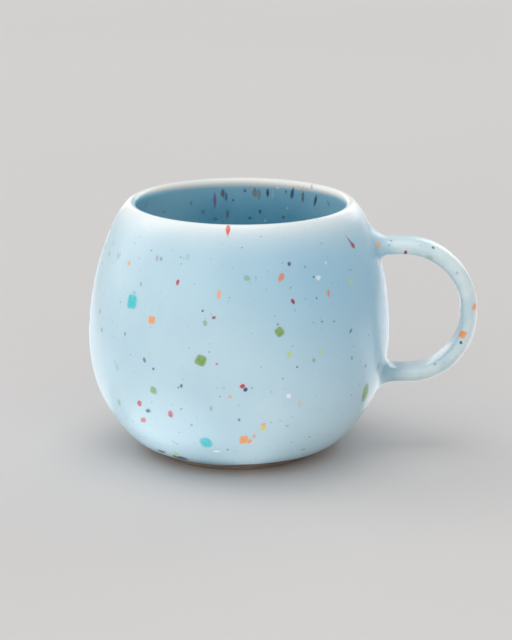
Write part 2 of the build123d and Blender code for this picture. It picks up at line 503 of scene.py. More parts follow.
def root_rows(upper, cut, steps=10):
    """Rows that turn from the strap into the wall, with a wide fillet over the outside and a smaller one inside."""
    z_mid, sign = (TOP_Z, 1.0) if upper else (LOW_Z, -1.0)
    inner_size = 3.9 if upper else 5.0
    rows = [[] for _ in range(steps + 3)]
    for (a, w), (face_a, face_w) in zip(SECTION - FACING * cut, FACING):
        z0, y0 = z_mid + sign * a, w
        ez, ey = sign * face_a, face_w
        rr = out_radius(z0) - cut
        x0 = math.sqrt(max(rr * rr - y0 * y0, 1.0))
        size = 3.2 + 2.3 * max(face_a, 0) ** 1.3 + (inner_size - 3.2) * max(-face_a, 0) ** 1.3 + cut
        spread = size * (0.95 if face_a < 0 else 0.95 + 0.12 * face_a)
        zb, yb = z0 + ez * spread, y0 + ey * spread
        rb = out_radius(zb) - cut
        xb = math.sqrt(max(rb * rb - yb * yb, 1.0))
        p0, p1, p2 = np.array([x0 + size, y0, z0]), np.array([x0, y0, z0]), np.array([xb, yb, zb])
        for k in range(steps + 1):
            t = k / steps
            q = (1 - t) ** 2 * p0 + 2 * t * (1 - t) * p1 + t * t * p2
            rows[k].append(q + np.array([0.02 * t, 0, 0]))
        # the thin hem runs on under the wall's own coat
        for m, (more, sink) in enumerate(((0.8, -0.03), (1.2, -0.30))):
            zc, yc = zb + ez * more, yb + ey * more
            rc = out_radius(zc) - cut + sink
            xc = math.sqrt(max(rc * rc - yc * yc, 1.0))
            rows[steps + 1 + m].append(np.array([xc, yc, zc]))
    return [np.array(r) for r in rows]


def strap_rows(cut, fillets=True):
    """All rows of the handle's skin, from the hem at the upper root to the hem at the lower one."""
    top, low = root_rows(True, cut), root_rows(False, cut)
    half = len(PATH) // 2
    top_x, low_x = max(r[0] for r in top[0]) + 0.5, max(r[0] for r in low[0]) + 0.5
    middle = [
        strap_row(i, cut)[0]
        for i in range(0, len(PATH), 2)
        if PATH[i][0] > (top_x if i < half else low_x)
    ]
    if not fillets:
        ends = []
        for z_mid, sign in ((TOP_Z, 1), (LOW_Z, -1)):
            a, w = (SECTION - FACING * cut).T
            z0, y0 = z_mid + sign * a, w
            rr = out_radius(z0) - 0.45
            ends.append(np.c_[np.sqrt(rr * rr - y0 * y0), y0, z0])
        return [ends[0], *middle, ends[1]]
    return [*top[::-1], *middle, *low]


def joined(rows_out, rows_in):
    """A closed skin from its outside rows and its inside rows."""
    rows = [[tuple(p) for p in r] for r in rows_out] + [
        [tuple(p) for p in r] for r in rows_in[::-1]
    ]
    return ring_grid(rows, True)


def capped(rows):
    first, last = rows[0].mean(0), rows[-1].mean(0)
    full = [[tuple(first)]] + [[tuple(p) for p in r] for r in rows] + [[tuple(last)]]
    return ring_grid(full, False)


def strap_share(v):
    """0 on the vessel to 1 out on the strap."""
    return np.clip((np.hypot(v[:, 0], v[:, 1]) - out_radius(v[:, 2])) / 6.0, 0, 1) ** 0.8


def root_pool(v):
    """Thick glaze gathered in the corner over the lower root."""
    d = np.hypot(np.hypot(v[:, 0] - 48.5, (v[:, 2] - 26.2) * 1.15), v[:, 1] * 0.35)
    return 0.95 * np.exp(-((d / 4.2) ** 2))


skin_out, skin_in = strap_rows(0.0), strap_rows(GLAZE)
verts, faces = joined(skin_out, skin_in)
va = np.array(verts)
handle_skin = make(
    "handle_glaze_skin",
    verts,
    faces,
    replaces=("handle_glaze",),
    attributes={
        "lip": np.zeros(len(verts)),
        "pool_and_shade": root_pool(va),
        "strap": strap_share(va),
        "inside": np.zeros(len(verts)),
    },
)
outward(handle_skin)

verts, faces = capped(strap_rows(GLAZE + 0.02, fillets=False))
handle_clay = make(
    "handle_clay", verts, faces, replaces=("handle",)
)
outward(handle_clay)

for label, node, upper in (
    ("slip_collar_upper", "upper_slip_joint", True),
    ("slip_collar_lower", "lower_slip_joint", False),
):
    rows = root_rows(upper, GLAZE + 0.02)[:-2]
    sign, z_mid = (1, TOP_Z) if upper else (-1, LOW_Z)
    a, w = (SECTION - FACING * (GLAZE + 0.03)).T
    z0, y0 = z_mid + sign * a, w
    rr = out_radius(z0) - 0.44
    root = np.c_[np.sqrt(rr * rr - y0 * y0), y0, z0]
    loop = [[tuple(p) for p in r] for r in rows] + [[tuple(p) for p in root]]
    verts, faces = ring_grid(loop, True)
    collar = make(label, verts, faces, replaces=(node,))
    outward(collar)

# ------------------------------------------------------------------ flecks of stain in the glaze
COLOURS = {  # linear base colours
    "red_orange": (0.72, 0.09, 0.03), "orange_red": (0.74, 0.19, 0.05), "dark_red": (0.29, 0.014, 0.035),
    "red": (0.58, 0.022, 0.055), "pink": (0.66, 0.07, 0.12), "orange": (0.92, 0.33, 0.08),
    "amber": (0.85, 0.42, 0.12), "yellow": (0.80, 0.62, 0.05), "lime": (0.49, 0.66, 0.12),
    "green": (0.19, 0.35, 0.075), "turquoise": (0.035, 0.55, 0.60), "navy": (0.018, 0.035, 0.12),
    "slate": (0.06, 0.115, 0.165), "purple": (0.34, 0.12, 0.31), "white": (0.93, 0.97, 0.98),
    "plum": (0.33, 0.10, 0.26), "umber": (0.19, 0.10, 0.10), "blue": (0.03, 0.07, 0.30),
    "tan": (0.36, 0.24, 0.18), "blue_dark": (0.020, 0.060, 0.20),
}
# around the axis from the front in degrees (+ towards the handle), height, width, length, turn, colour, strength, kind
OUTSIDE_FLECKS = [
    (-6.2, 78.75, 1.25, 3.9, -2, "red_orange", 1.0, "drop"),
    (56.6, 70.9, 1.7, 2.3, -28, "dark_red", 1.0, "tail"),
    (-61.9, 66.9, 1.5, 2.0, -60, "green", 0.35, ""),
    (-71.4, 66.0, 1.1, 2.0, -40, "purple", 0.35, ""),
    (-52.4, 66.2, 1.4, 1.7, 80, "orange", 0.75, ""),
    (-37.2, 69.4, 1.0, 1.8, -15, "purple", 0.45, ""),
    (-35.1, 69.4, 1.0, 1.2, -30, "slate", 0.45, ""),
    (-22.6, 70.9, 1.0, 2.1, -10, "purple", 0.22, ""),
    (20.3, 69.1, 1.1, 1.3, 13, "navy", 0.85, ""),
    (2.6, 65.7, 1.9, 1.6, 0, "green", 0.6, ""),
    (16.4, 65.5, 1.7, 2.7, 35, "orange_red", 0.9, ""),
    (32.5, 64.2, 1.5, 1.6, 80, "white", 0.6, ""),
    (49.0, 61.1, 1.9, 1.9, 0, "lime", 0.65, ""),
    (-25.4, 63.5, 1.1, 1.6, 9, "red", 1.0, ""),
    (-8.2, 61.0, 1.2, 2.4, -3, "orange", 0.75, ""),
    (36.3, 59.4, 0.95, 1.9, 3, "orange_red", 0.85, ""),
    (-45.6, 55.6, 3.9, 4.4, 0, "turquoise", 1.0, "block"),
    (-45.2, 58.4, 1.0, 1.0, 0, "turquoise", 0.7, ""),
    (20.4, 58.4, 1.1, 1.7, -29, "dark_red", 0.95, ""),
    (-34.7, 51.6, 2.3, 2.3, 4, "orange", 1.0, "block"),
    (-12.9, 52.5, 1.4, 1.6, -14, "green", 0.65, ""),
    (-9.7, 54.2, 0.9, 1.2, 85, "dark_red", 0.85, ""),
    (-14.1, 56.0, 0.6, 0.7, 60, "navy", 0.9, ""),
    (14.7, 49.8, 2.6, 2.8, -35, "green", 1.0, "block"),
    (-63.9, 43.7, 1.0, 1.6, 30, "purple", 0.6, ""),
    (-67.3, 48.8, 1.0, 1.4, -20, "pink", 0.6, ""),
    (45.7, 46.7, 0.8, 1.7, 50, "slate", 0.85, ""),
    (-14.0, 41.2, 3.3, 3.3, 20, "green", 1.0, "block"),
    (18.4, 42.7, 1.4, 2.1, -4, "lime", 0.8, ""),
    (31.1, 42.3, 1.1, 1.7, -8, "lime", 0.55, ""),
    (28.1, 40.1, 1.1, 1.4, -39, "green", 0.6, ""),
    (-37.0, 39.0, 1.0, 1.6, -29, "navy", 0.7, ""),
    (-32.9, 36.8, 0.8, 0.9, 62, "navy", 0.75, ""),
    (-35.1, 41.3, 0.9, 1.6, 1, "amber", 0.25, ""),
    (-52.0, 34.3, 1.1, 2.0, -4, "turquoise", 0.45, ""),
    (-8.1, 40.4, 0.6, 0.8, 79, "red", 0.85, ""),
    (-21.4, 32.7, 0.9, 1.1, 23, "navy", 0.85, ""),
    (-33.3, 29.8, 2.5, 2.4, 20, "green", 0.8, ""),
    (1.3, 33.6, 1.5, 1.5, 22, "red", 1.0, ""),
    (2.4, 32.5, 1.3, 1.3, 70, "navy", 1.0, ""),
    (-3.2, 30.2, 1.0, 1.1, 79, "orange", 0.7, ""),
    (18.6, 29.7, 1.4, 1.7, -57, "white", 0.7, ""),
    (23.5, 26.6, 1.0, 2.4, -11, "orange", 0.35, ""),
    (-41.4, 24.2, 1.6, 2.4, 29, "red", 0.9, ""),
    (-37.6, 22.3, 1.2, 2.1, 55, "navy", 0.85, ""),
    (-55.1, 21.9, 1.6, 2.8, 31, "green", 0.5, ""),
    (-27.0, 22.7, 1.6, 2.6, 4, "red", 0.88, ""),
    (-42.1, 18.2, 1.6, 3.0, 51, "pink", 0.9, ""),
    (-10.3, 26.1, 0.9, 1.7, 4, "green", 0.45, ""),
    (0.3, 22.4, 0.8, 1.0, -3, "navy", 0.65, ""),
    (9.8, 19.2, 1.6, 2.2, -8, "yellow", 0.9, ""),
    (9.9, 20.6, 1.4, 1.1, 0, "orange", 0.85, ""),
    (-13.7, 13.4, 4.0, 4.7, 0, "turquoise", 0.9, "oval"),
    (2.5, 15.0, 2.7, 3.5, 0, "orange", 0.95, "block"),
    (4.9, 14.4, 1.5, 2.0, 0, "orange", 0.9, "oval"),
    (6.5, 16.3, 1.1, 1.6, -12, "orange", 0.75, ""),
    (-29.0, 11.7, 0.6, 2.3, -45, "pink", 0.55, ""),
    (-32.6, 6.4, 2.2, 2.4, 0, "lime", 0.9, ""),
    (-42.8, 6.0, 3.1, 1.7, 0, "navy", 0.9, ""),
    (-31.8, 4.9, 5.4, 2.9, 0, "navy", 1.0, "oval"),
    (59.3, 24.2, 3.7, 6.6, -14, "green", 1.0, "oval"),
    (-9.6, 10.1, 1.1, 2.2, 80, "white", 0.75, ""),
    (-1.1, 10.3, 0.8, 1.7, -88, "lime", 0.4, ""),
    (-4.5, 11.0, 0.8, 1.0, 60, "slate", 0.6, ""),
    (-24.3, 70.4, 0.8, 1.4, 87, "turquoise", 0.3, ""),
    (-42.5, 61.3, 0.7, 1.3, -19, "slate", 0.45, ""),
    (55.2, 34.0, 0.8, 1.3, -30, "slate", 0.55, ""),
    (67.3, 31.4, 1.0, 2.4, 20, "slate", 0.7, ""),
    (46.1, 38.2, 0.9, 1.2, -30, "slate", 0.55, ""),
    (37.5, 68.0, 0.9, 1.0, 0, "white", 0.35, ""),
    (32.8, 8.5, 0.7, 1.4, 60, "slate", 0.6, ""),
    (19.7, 19.3, 0.6, 1.0, -62, "slate", 0.4, ""),
    (27.1, 67.8, 0.7, 0.9, 12, "slate", 0.4, ""),
    (6.1, 65.8, 0.6, 1.0, 0, "green", 0.4, ""),
    (-70.7, 69.5, 0.8, 1.8, 40, "green", 0.3, ""),
    (-22.1, 25.0, 0.6, 0.7, 34, "navy", 0.6, ""),
    (-18.6, 19.7, 0.7, 1.0, 20, "slate", 0.5, ""),
    (-47.5, 45.5, 0.7, 1.1, 7, "slate", 0.65, ""),
    (32.0, 51.4, 0.6, 0.7, -70, "slate", 0.65, ""),
    (37.5, 50.8, 0.6, 0.7, -70, "slate", 0.65, ""),
]
INSIDE_FLECKS = [
    (-166.4, 72.4, 1.0, 6.5, 6, "plum", 0.8, "streak"),
    (-170.3, 74.9, 1.4, 3.9, 6, "umber", 0.85, "streak"),
    (-172.2, 73.6, 1.0, 3.9, 5, "blue", 0.7, "streak"),
    (-173.6, 67.1, 1.0, 3.8, 3, "umber", 0.6, "streak"),
    (177.8, 75.8, 1.0, 1.6, 0, "dark_red", 0.7, ""),
    (172.4, 75.1, 1.8, 4.0, -4, "tan", 0.8, "streak"),
    (170.2, 74.5, 1.2, 4.7, -4, "tan", 0.65, "streak"),
    (165.3, 75.2, 0.9, 3.5, -7, "navy", 0.9, "streak"),
    (162.5, 74.8, 1.0, 4.4, -8, "white", 0.2, "streak"),
    (159.0, 77.4, 0.9, 1.2, 0, "white", 0.8, ""),
    (154.5, 76.2, 0.7, 1.2, -22, "navy", 0.6, ""),
    (150.8, 75.8, 1.2, 5.2, -21, "blue_dark", 0.9, "streak"),
    (144.5, 75.1, 0.9, 4.9, -22, "umber", 0.9, "streak"),
    (144.9, 74.1, 0.7, 3.2, -21, "navy", 0.7, "streak"),
    (136.5, 74.4, 1.0, 5.7, -31, "navy", 0.85, "streak"),
    (-176.0, 72.2, 0.7, 1.1, 4, "navy", 0.6, ""),
    (-161.0, 68.4, 1.4, 1.8, 17, "navy", 0.35, ""),
    (-167.8, 65.5, 1.1, 1.7, 80, "navy", 0.4, ""),
    (-153.5, 72.0, 0.8, 1.8, 18, "navy", 0.4, ""),
    (-138.0, 70.1, 0.9, 1.5, 60, "navy", 0.3, ""),
    (-119.2, 74.7, 1.0, 3.0, 10, "navy", 0.3, ""),
    (170.3, 68.1, 0.9, 1.7, -3, "navy", 0.7, ""),
    (175.3, 65.6, 1.0, 1.2, -76, "navy", 0.7, ""),
    (158.5, 66.5, 1.0, 1.3, -64, "navy", 0.6, ""),
    (126.3, 74.4, 0.9, 2.6, -10, "navy", 0.4, ""),
    (155.7, 70.0, 0.7, 0.9, -34, "white", 0.5, ""),
    (168.0, 64.8, 0.7, 0.9, -20, "white", 0.6, ""),
    (136.7, 79.2, 0.7, 1.7, 25, "umber", 0.5, ""),
    (143.5, 77.6, 0.7, 3.2, -22, "amber", 0.4, "streak"),
]
# row along the handle's skin from the upper root, place round the strap from its outer crown, then as above
HANDLE_FLECKS = [
    (7, 41, 1.8, 1.8, 0, "amber", 1.0, "oval"),
    (18, 37, 1.5, 1.0, 0, "dark_red", 0.95, ""),
    (30, 44, 0.9, 1.0, 20, "navy", 0.85, ""),
    (30, 37, 1.6, 2.4, 0, "green", 0.35, ""),
    (76, 37, 2.3, 2.4, 8, "orange", 1.0, "block"),
    (63, 44, 2.7, 2.3, 0, "orange", 0.95, "oval"),
    (80, 38, 0.95, 0.95, 0, "navy", 0.9, ""),
    (12, 45, 0.7, 1.0, 30, "slate", 0.5, ""),
    (45, 40, 0.8, 0.9, 0, "slate", 0.4, ""),
    (97, 36, 0.7, 1.0, 0, "slate", 0.5, ""),
    (104, 9, 1.6, 2.0, 10, "green", 0.85, ""),
    (88, 14, 1.3, 1.5, 0, "red", 0.9, ""),
    (70, 12, 1.9, 2.3, -20, "turquoise", 0.9, "block"),
    (52, 16, 1.1, 1.6, 10, "navy", 0.9, ""),
    (35, 10, 1.7, 1.9, 0, "orange_red", 0.9, ""),
    (24, 15, 1.0, 1.4, 25, "lime", 0.8, ""),
    (15, 8, 0.9, 1.2, 0, "purple", 0.7, ""),
    (58, 1, 1.4, 2.1, 5, "green", 0.8, ""),
    (83, 50, 1.0, 1.3, 0, "pink", 0.75, ""),
    (40, 2, 1.0, 1.3, -30, "navy", 0.8, ""),
    (66, 26, 1.4, 1.7, 0, "lime", 0.75, ""),
    (30, 26, 1.1, 1.5, 15, "red", 0.8, ""),
]

rng = random.Random(20117)
SIDE = ["green", "red", "orange", "navy", "lime", "turquoise", "orange_red", "pink", "white", "slate", "dark_red", "amber", "purple"]
WEIGHT = [10, 8, 9, 12, 6, 3, 5, 3, 4, 14, 4, 4, 4]


def scatter(count, low, high, half, inside=False):
    """More flecks of the same kinds where the vessel turns away from the front."""
    out = []
    for _ in range(count):
        a = rng.uniform(*half)
        z = rng.uniform(low, high)
        colour = rng.choices(SIDE, WEIGHT)[0]
        big = rng.random()
        w = 0.6 + 0.9 * rng.random() + (2.4 * rng.random() if big > 0.93 else 0)
        if colour in ("navy", "slate", "purple", "dark_red"):
            w = min(w, 1.3)
        length = w * rng.uniform(1.0, 1.7)
        kind = "block" if big > 0.95 else ""
        if inside and z > 62:
            length, kind = w * rng.uniform(1.6, 4.0), "streak"
            if colour in ("lime", "amber", "orange", "pink", "turquoise"):
                colour = rng.choice(["umber", "plum", "tan", "navy"])
        out.append(
            (a, z, w, length, rng.uniform(-60, 60) if kind != "streak" else 0, colour,
             rng.uniform(0.35, 0.95), kind)
        )
    return out


outside = OUTSIDE_FLECKS + scatter(125, 6, 76, (82, 278))
inside_all = INSIDE_FLECKS + scatter(45, 20, 76, (-115, 112), True) + scatter(25, 12, 62, (112, 245), True)


def blob(w, length, kind, r):
    """Outline of a fleck as a radius at each angle, for unit size."""
    n = 20
    a = np.linspace(0, 2 * math.pi, n, endpoint=False)
    x, y = np.cos(a), np.sin(a)
    if kind == "block":
        k = (np.abs(x) ** 4 + np.abs(y) ** 4) ** (-0.25) * 0.98
    else:
        k = np.ones(n)
    rough = {"block": 0.045, "oval": 0.05, "drop": 0.04}.get(kind, 0.13)
    for m in (2, 3, 4, 5):
        k = k * (1 + r.uniform(0.15, 1) * rough / m**0.5 * np.sin(m * a + r.uniform(0, 6.3)))
    u, v = x * k * w / 2, y * k * length / 2
    if kind == "tail":
        v = np.where(y > 0, v * (1 + 2.5 * y**6), v)
        u = np.where(y > 0, u * (1 - 0.5 * y), u)
    if kind == "streak":
        u = u * (1 - 0.25 * np.abs(y) ** 2)
    if kind == "drop":
        u = u * (1 + 0.35 * y - 0.25 * y * y)
    return u, v


def fleck_mesh(flecks, place, seed):
    r = random.Random(seed)
    verts, faces, mask, colour = [], [], [], []
    steps = ((0.0, 1.0), (0.45, 1.0), (0.80, 0.96), (0.98, 0.60), (1.10, 0.0))
    for item in flecks:
        where, w, length, turn, tint, strength, kind = item[:2], *item[2:8]
        u, v = blob(w, length, kind, r)
        ct, st = math.cos(math.radians(turn)), math.sin(math.radians(turn))
        soft = 0.16 / max(w, 0.5)
        base = len(verts)
        n = len(u)
        for share, m in steps:
            reach = share + (soft if share > 1 else 0)
            count = 1 if share == 0 else n
            for j in range(count):
                uu, vv = u[j] * reach, v[j] * reach
                x, y = uu * ct + vv * st, -uu * st + vv * ct
                verts.append(place(where, x, y))
                mask.append(m * strength * (0.9 + 0.1 * r.random()))
                jitter = 1 + 0.10 * math.sin(5 * j + 9 * share)
                colour.append([min(1, c * jitter) for c in COLOURS[tint]] + [1.0])
        for j in range(n):
            k = (j + 1) % n
            faces.append((base, base + 1 + j, base + 1 + k))
            for q in range(len(steps) - 2):
                a, b = base + 1 + q * n, base + 1 + (q + 1) * n
                faces.append((a + j, b + j, b + k, a + k))
    return verts, faces, mask, colour


PROUD = 0.03


def on_path(path, s_path, sign):
    normals = np.gradient(path, axis=0)
    normals /= np.hypot(*normals.T)[:, None]
    normals = np.c_[normals[:, 1], -normals[:, 0]]
    by_height = np.argsort(path[:, 1])

    def place(where, x, y):
        phi0, z0 = where
        s0 = np.interp(z0, path[by_height, 1], s_path[by_height])
        s = s0 + sign * y
        r = np.interp(s, s_path, path[:, 0])
        z = np.interp(s, s_path, path[:, 1])
        nr, nz = np.interp(s, s_path, normals[:, 0]), np.interp(s, s_path, normals[:, 1])
        a = math.radians(phi0) + x / max(r, 5)
        r, z = r + nr * PROUD, z + nz * PROUD
        return (r * math.sin(a), -r * math.cos(a), z)

    return place


def fleck_piece(name, flecks, place, seed, strap=0.0, inside=0.0, warped=True):
    verts, faces, mask, colour = fleck_mesh(flecks, place, seed)
    n = len(verts)
    if callable(strap):
        strap_values = strap(np.array(verts))
    else:
        strap_values = np.full(n, strap)
    return make(
        name,
        verts,
        faces,
        warped=warped,
        attributes={
            "lip": lip_share(verts, bool(inside)) * (0 if callable(strap) else 1),
            "pool_and_shade": pool_shade_share(verts) if not inside else np.zeros(n),
            "strap": strap_values,
            "inside": inner_share(verts) * inside,
            "fleck": mask,
            "fleck_colour": colour,
        },
    )


flecks_outer = fleck_piece(
    "flecks_outer", outside, on_path(OUT_PATH, OUT_S, 1), 7
)
low_wall = IN_PATH[: np.argmin(np.abs(IN_PATH[:, 0] - 30)) + 40]
flecks_inner = fleck_piece(
    "flecks_inner", inside_all, on_path(IN_PATH, IN_S, -1), 8, inside=1.0
)

SKIN = np.array(skin_out)


def on_strap(where, x, y):
    """A point on the handle's skin, x round the strap and y towards the upper root from the given row and place."""
    row, place = where
    n_rows, n_round, _ = SKIN.shape
    round_step = np.linalg.norm(SKIN[row][place] - SKIN[row][(place + 1) % n_round])
    along_step = np.linalg.norm(SKIN[row][place] - SKIN[min(row + 1, n_rows - 1)][place])
    j, i = place + x / round_step, row - y / max(along_step, 0.2)
    i = min(max(i, 1.0), n_rows - 2.001)
    i0, j0 = int(i), int(math.floor(j))
    fi, fj = i - i0, j - j0
    a, b = SKIN[i0][j0 % n_round], SKIN[i0][(j0 + 1) % n_round]
    c, d = SKIN[i0 + 1][j0 % n_round], SKIN[i0 + 1][(j0 + 1) % n_round]
    p = (a * (1 - fj) + b * fj) * (1 - fi) + (c * (1 - fj) + d * fj) * fi
    normal = np.cross(b - a, c - a)
    normal /= np.linalg.norm(normal)
    if normal @ (p - SKIN[i0].mean(0)) < 0:
        normal = -normal
    return tuple(p + normal * PROUD)


flecks_handle = fleck_piece(
    "flecks_handle", HANDLE_FLECKS, on_strap, 9, strap=strap_share
)

# ------------------------------------------------------------------ materials
def new_material(name):
    m = bpy.data.materials.new(name)
    m.use_nodes = True
    t = m.node_tree
    t.nodes.clear()
    out = t.nodes.new("ShaderNodeOutputMaterial")
    bsdf = t.nodes.new("ShaderNodeBsdfPrincipled")
    t.links.new(bsdf.outputs["BSDF"], out.inputs["Surface"])
    return m, t, bsdf


class Net:
    """Short names for building a node tree."""

    def __init__(self, tree):
        self.t = tree

    def node(self, kind, **values):
        n = self.t.nodes.new(kind)
        for k, v in values.items():
            setattr(n, k, v)
        return n

    def set(self, socket, value):
        if isinstance(value, bpy.types.NodeSocket):
            self.t.links.new(value, socket)
        else:
            socket.default_value = value

    def math(self, op, a, b=0.0, c=0.0, clamp=False):
        n = self.node("ShaderNodeMath", operation=op, use_clamp=clamp)
        for s, v in zip(n.inputs, (a, b, c)):
            self.set(s, v)
        return n.outputs[0]

    def mix(self, factor, a, b, blend="MIX"):
        n = self.node("ShaderNodeMix", data_type="RGBA", blend_type=blend)
        self.set(n.inputs["Factor"], factor)
        self.set(n.inputs["A"], a)
        self.set(n.inputs["B"], b)
        return n.outputs["Result"]

    def ramp(self, value, low, high, to_low=0.0, to_high=1.0, smooth=True):
        n = self.node("ShaderNodeMapRange", interpolation_type="SMOOTHSTEP" if smooth else "LINEAR")
        self.set(n.inputs["Value"], value)
        n.inputs["From Min"].default_value = low
        n.inputs["From Max"].default_value = high
        n.inputs["To Min"].default_value = to_low
        n.inputs["To Max"].default_value = to_high
        return n.outputs["Result"]

    def noise(self, vector, scale, detail=2.0, rough=0.5, distortion=0.0):
        n = self.node("ShaderNodeTexNoise")
        self.set(n.inputs["Vector"], vector)
        n.inputs["Scale"].default_value = scale
        n.inputs["Detail"].default_value = detail
        n.inputs["Roughness"].default_value = rough
        n.inputs["Distortion"].default_value = distortion
        return n.outputs["Fac"]

    def attribute(self, name):
        n = self.node("ShaderNodeAttribute", attribute_name=name)
        return n.outputs["Fac"]

    def colour_attribute(self, name):
        n = self.node("ShaderNodeAttribute", attribute_name=name)
        return n.outputs["Color"]


def rgb(r, g, b):
    return (r, g, b, 1.0)


BLUE = rgb(0.490, 0.680, 0.775)
BLUE_DEEP = rgb(0.435, 0.635, 0.740)
BLUE_PALE = rgb(0.550, 0.735, 0.815)
# painted shade colour for the wall's darker side towards the handle
PAINTED_SHADE_BLUE = rgb(0.295, 0.530, 0.680)
LINER = rgb(0.250, 0.570, 0.710)
LINER_DEEP = rgb(0.180, 0.485, 0.630)
LINER_PAINTED_LIGHT = rgb(0.510, 0.790, 0.890)
WHITE = rgb(0.86, 0.88, 0.86)
IVORY = rgb(0.80, 0.79, 0.745)
CREAM = rgb(0.74, 0.66, 0.57)
STRAP = rgb(0.590, 0.735, 0.765)
STRAP_THIN = rgb(0.74, 0.83, 0.83)
POOL_AND_SHADE = rgb(0.25, 0.41, 0.49)
SPECK = rgb(0.055, 0.095, 0.130)


def glaze_material(name, flecked=False):
    m, t, bsdf = new_material(name)
    n = Net(t)
    coords = n.node("ShaderNodeTexCoord").outputs["Object"]
    mm = n.node("ShaderNodeVectorMath", operation="SCALE")
    n.set(mm.inputs[0], coords)
    mm.inputs["Scale"].default_value = 1000.0
    p = mm.outputs["Vector"]
    lip, pool_and_shade, strap, inside = (n.attribute(k) for k in ("lip", "pool_and_shade", "strap", "inside"))

    cloud = n.noise(p, 0.035, 3, 0.5, 0.3)
    fine = n.noise(p, 0.35, 3, 0.55)
    run = n.node("ShaderNodeMapping")  # glaze runs down the wall in faint vertical streaks
    n.set(run.inputs["Vector"], p)
    run.inputs["Scale"].default_value = (1.0, 1.0, 0.12)
    streak = n.noise(run.outputs["Vector"], 0.30, 2, 0.5)

    outer = n.mix(n.ramp(cloud, 0.30, 0.70), BLUE_DEEP, BLUE_PALE)
    outer = n.mix(0.45, outer, BLUE)
    outer = n.mix(n.ramp(streak, 0.35, 0.75, 0.0, 0.14), outer, BLUE_PALE)
    outer = n.mix(n.ramp(fine, 0.35, 0.70, 0.0, 0.10), outer, BLUE_DEEP)
    # painted shade: the wall is painted a darker, deeper blue towards the handle's side and the top, where less light
    # falls
    axes = n.node("ShaderNodeSeparateXYZ")
    n.set(axes.inputs[0], p)
    painted_side_shade = n.math("ADD", n.math("MULTIPLY", axes.outputs["X"], 0.62), n.math("MULTIPLY", axes.outputs["Z"], 0.80))
    painted_side_shade = n.math("ADD", painted_side_shade, n.math("MULTIPLY", cloud, 14.0))
    outer = n.mix(n.ramp(painted_side_shade, 36.0, 80.0, 0.0, 0.95), outer, PAINTED_SHADE_BLUE)
    # thin glaze on the strap shows more of the pale ground, in patches
    strap_tint = n.mix(n.ramp(n.noise(p, 0.11, 3, 0.5), 0.35, 0.65), STRAP, STRAP_THIN)
    outer = n.mix(n.math("MULTIPLY", strap, 0.85), outer, strap_tint)
    # darker low on the wall: thick run glaze, and painted shade near the table
    outer = n.mix(n.math("MULTIPLY", pool_and_shade, 0.90), outer, POOL_AND_SHADE)

    liner = n.mix(n.ramp(cloud, 0.3, 0.7), LINER_DEEP, LINER)
    liner = n.mix(n.ramp(streak, 0.35, 0.75, 0.0, 0.18), liner, BLUE_DEEP)
    # painted light: the inside is paler near the rim and up its two sides, where more light reaches in
    rim_painted_light = n.ramp(axes.outputs["Z"], 66.0, 78.5, 0.0, 0.60)
    liner = n.mix(rim_painted_light, liner, LINER_PAINTED_LIGHT)
    side_painted_light = n.ramp(n.math("ABSOLUTE", n.math("SUBTRACT", axes.outputs["X"], 4.0)), 12.0, 30.0, 0.0, 0.70)
    liner = n.mix(n.math("MULTIPLY", side_painted_light, n.ramp(axes.outputs["Z"], 40.0, 64.0)), liner, LINER_PAINTED_LIGHT)
    # painted shade: the thin left edge of the lip turns down at once, so its coat there is painted deep blue, as if in
    # shade
    left_tip_shade = n.math("MULTIPLY", n.ramp(axes.outputs["X"], -35.0, -27.0, 1.0, 0.0), n.ramp(axes.outputs["Z"], 75.5, 77.5))
    liner = n.mix(n.math("MULTIPLY", left_tip_shade, 0.9), liner, LINER_DEEP)
    base = n.mix(inside, outer, liner)

    # breaking to white at the lip, with a cream edge where it gives way to the blue
    wander = n.math("MULTIPLY_ADD", n.noise(run.outputs["Vector"], 0.5, 3, 0.6), 0.55, -0.275)
    lipped = n.math("ADD", lip, n.math("MULTIPLY", wander, n.math("MULTIPLY", lip, n.math("SUBTRACT", 1.0, lip))))
    cream_band = n.math("MULTIPLY", n.ramp(lipped, 0.02, 0.35), inside)
    base = n.mix(n.math("MULTIPLY", cream_band, 0.60), base, CREAM)
    base = n.mix(n.ramp(lipped, 0.0, 1.0, 0.0, 0.95, False), base, n.mix(inside, WHITE, IVORY))

    # pin-head specks of iron and cobalt all through the glaze
    speck_total = None
    for scale, size, share, seed in ((0.33, 0.115, 0.50, 0.0), (0.60, 0.125, 0.40, 37.0), (0.17, 0.085, 0.45, 91.0)):
        shift = n.node("ShaderNodeVectorMath", operation="ADD")
        n.set(shift.inputs[0], p)
        shift.inputs[1].default_value = (seed, seed * 1.7, seed * 0.6)
        v = n.node("ShaderNodeTexVoronoi", feature="F1")
        n.set(v.inputs["Vector"], shift.outputs["Vector"])
        v.inputs["Scale"].default_value = scale
        v.inputs["Randomness"].default_value = 1.0
        near = n.ramp(v.outputs["Distance"], size * 0.35, size, 1.0, 0.0)
        sep = n.node("ShaderNodeSeparateColor")
        n.set(sep.inputs[0], v.outputs["Color"])
        present = n.math("LESS_THAN", sep.outputs[0], share)
        weight = n.math("MULTIPLY", near, n.math("MULTIPLY", present, n.ramp(sep.outputs[1], 0.0, 1.0, 0.25, 0.85, False)))
        speck_total = weight if speck_total is None else n.math("MAXIMUM", speck_total, weight)
    speck_total = n.math("MULTIPLY", speck_total, n.math("SUBTRACT", 1.0, n.math("MULTIPLY", lip, 0.7)))
    base = n.mix(speck_total, base, SPECK)

    if flecked:
        # a fleck of stain has melted into the glaze, so its colour is uneven and its edge soft
        mottle = n.ramp(n.noise(p, 0.9, 2, 0.5), 0.3, 0.7, 0.88, 1.08)
        mask = n.math("MULTIPLY", n.attribute("fleck"), mottle, clamp=True)
        base = n.mix(mask, base, n.colour_attribute("fleck_colour"))

